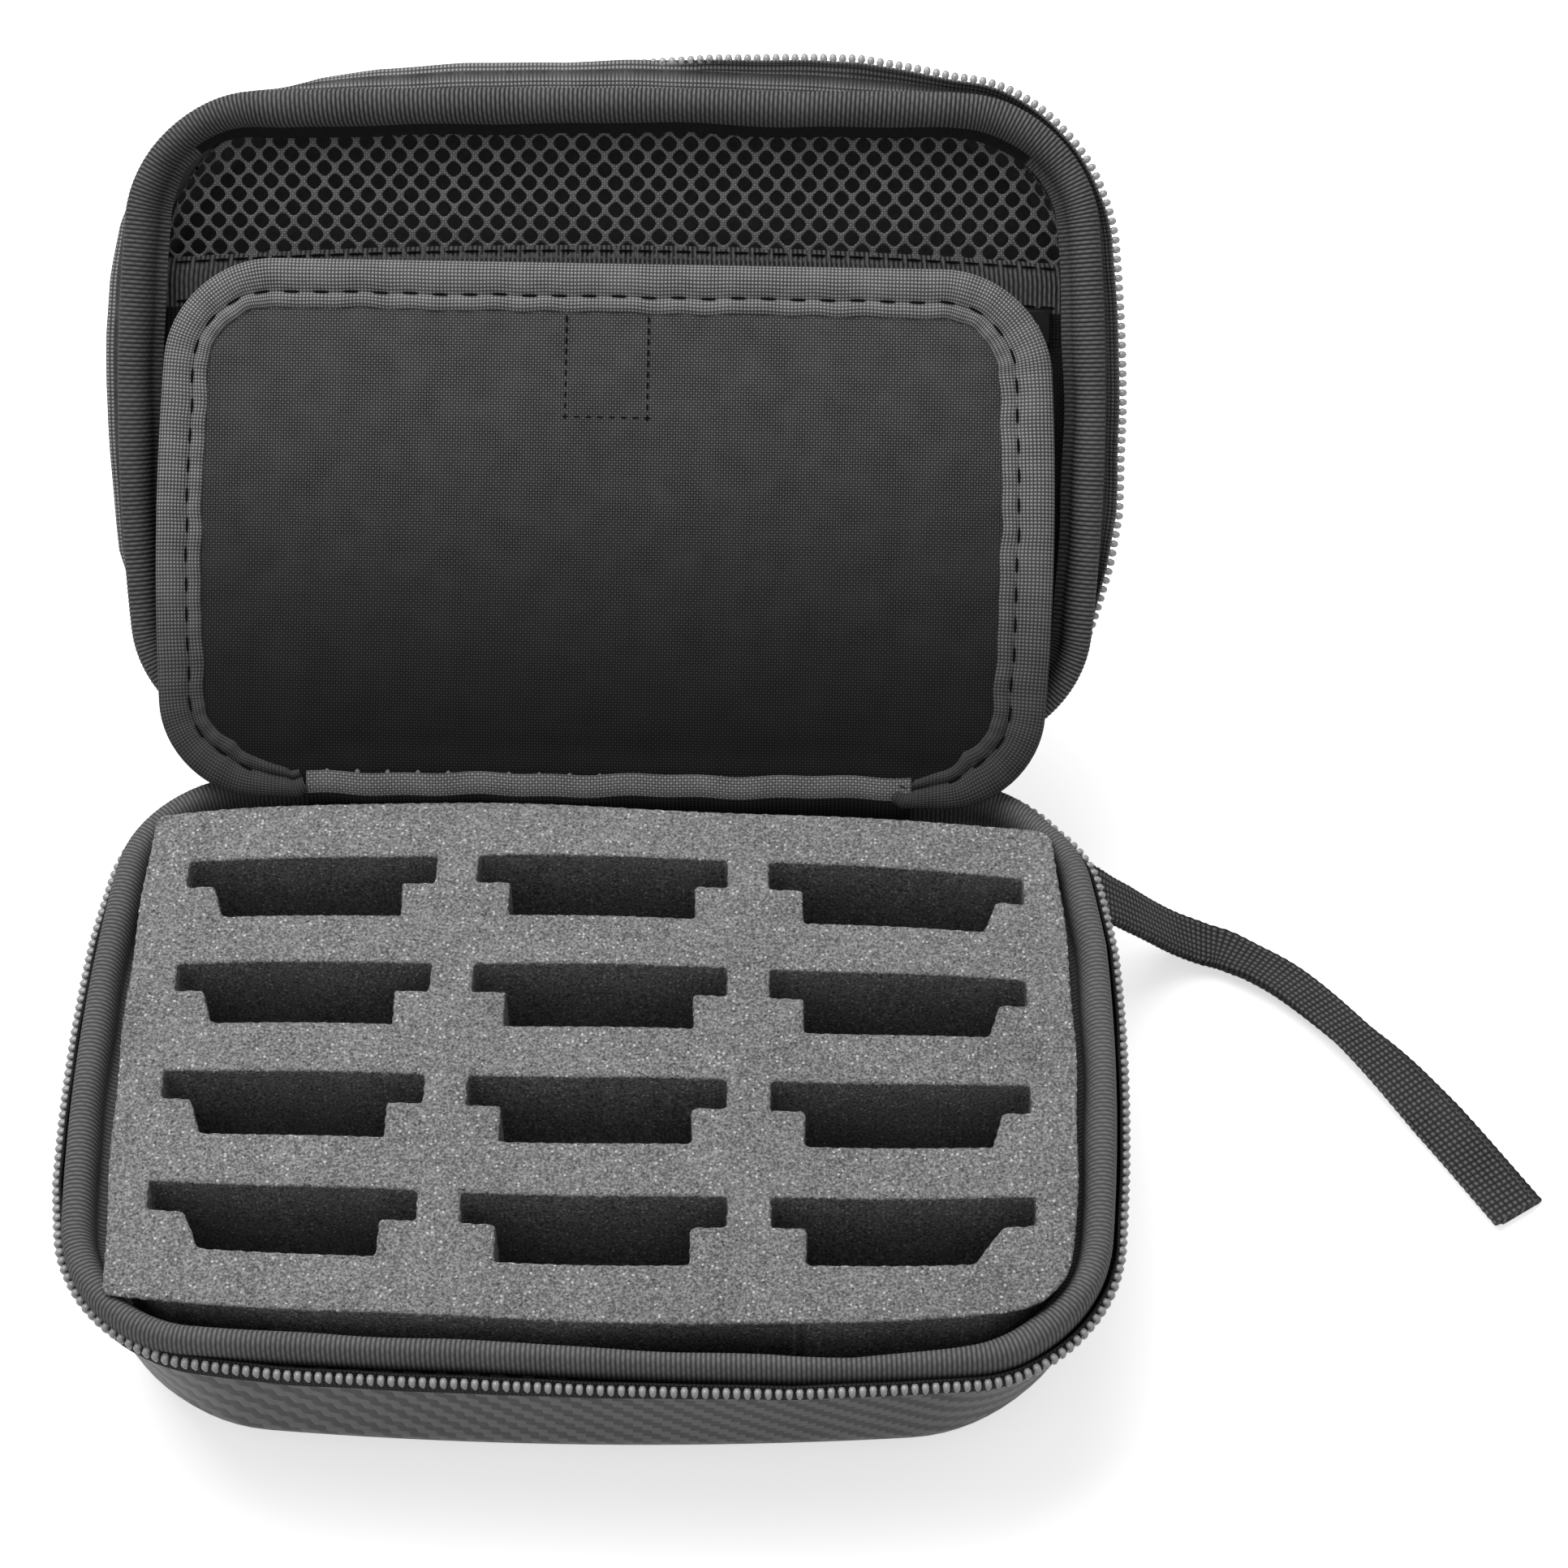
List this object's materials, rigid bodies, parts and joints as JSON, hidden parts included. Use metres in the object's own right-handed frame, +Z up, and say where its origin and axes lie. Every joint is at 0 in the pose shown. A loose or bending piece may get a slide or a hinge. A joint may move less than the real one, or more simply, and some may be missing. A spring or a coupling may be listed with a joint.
{
  "type": "zipped miniature carry case",
  "caption": "Hard-shell zipped carry case for tabletop miniatures, open, with slotted foam, a padded divider flap, a net and zip pocket in the lid, and a wrist strap.",
  "frame": {"origin": "middle of the flat bottom, midway between the rear rim line and the front rim corners", "axes": "+Z up, +Y to the hinge side, +X to the right of someone facing the open case from the front"},
  "size_m": [0.2962, 0.2564, 0.1476],
  "materials": {
    "shell": "moulded foam board under a twill-patterned woven skin, slight sheen",
    "lining": "thin brushed knit, matt",
    "binding": "ribbed grosgrain, matt",
    "tape": "woven zip tape, matt",
    "teeth": "moulded plastic, slightly glossy",
    "foam": "closed-cell foam, fine speckle, matt",
    "cloth": "fine plain-weave cloth, matt",
    "flap_binding": "basket-weave tape, matt",
    "net": "knitted open net, matt",
    "webbing": "woven narrow webbing, matt",
    "metal": "die-cast, plated"
  },
  "bodies": {
    "base": {"base_shell": "shell", "base_lining": "lining", "base_binding": "binding", "base_zip_tape": "tape", "base_zip_teeth": "teeth", "base_hinge_cloth": "tape", "foam_insert": "foam", "foam_floor_pad": "foam", "flap_hinge_strip": "flap_binding", "wrist_strap": "webbing", "zip_slider_left": "metal", "zip_slider_right": "metal"},
    "lid": {"lid_shell": "shell", "lid_lining": "lining", "lid_binding": "binding", "lid_zip_tape": "tape", "lid_zip_teeth": "teeth", "lid_hinge_cloth": "tape", "pocket_net": "net", "pocket_band": "binding", "pocket_zip_front_tape": "tape", "pocket_zip_coil": "teeth", "pocket_zip_rear_tape": "tape", "pocket_panel": "cloth", "pocket_loop_patch": "lining"},
    "flap": {"flap_panel": "cloth", "flap_binding": "flap_binding", "flap_hook_patch": "lining"},
    "pocket_slider": {"pocket_slider": "metal"},
    "pocket_pull": {"pocket_pull": "metal"},
    "zip_pull_left": {"zip_pull_left": "metal"},
    "zip_pull_right": {"zip_pull_right": "metal"}
  },
  "joints": [
    {"name": "lid_hinge", "type": "hinge", "parent": "base", "child": "lid", "pos_m": [0, 0.069, 0.05], "axis": [1, 0, 0], "range_deg": [0, 134.8]},
    {"name": "flap_hinge", "type": "hinge", "parent": "base", "child": "flap", "pos_m": [0, 0.0591, 0.0526], "axis": [1, 0, 0], "range_deg": [0, 142]},
    {"name": "pocket_slide", "type": "slide", "parent": "lid", "child": "pocket_slider", "axis": [-1, 0, 0], "range_m": [0, 0.171]},
    {"name": "pocket_pull_swing", "type": "hinge", "parent": "pocket_slider", "child": "pocket_pull", "pos_m": [0.0855, 0.14033, 0.10615], "axis": [-1, 0, 0], "range_deg": [0, 12]},
    {"name": "zip_pull_left_swing", "type": "hinge", "parent": "base", "child": "zip_pull_left", "pos_m": [-0.0668, 0.07255, 0.043], "axis": [1, 0, 0], "range_deg": [0, 50]},
    {"name": "zip_pull_right_swing", "type": "hinge", "parent": "base", "child": "zip_pull_right", "pos_m": [0.0668, 0.07255, 0.043], "axis": [1, 0, 0], "range_deg": [0, 50]}
  ],
  "couplings": [
    {"joint": "flap_hinge", "follows": "lid_hinge", "ratio": 1.0497}
  ]
}
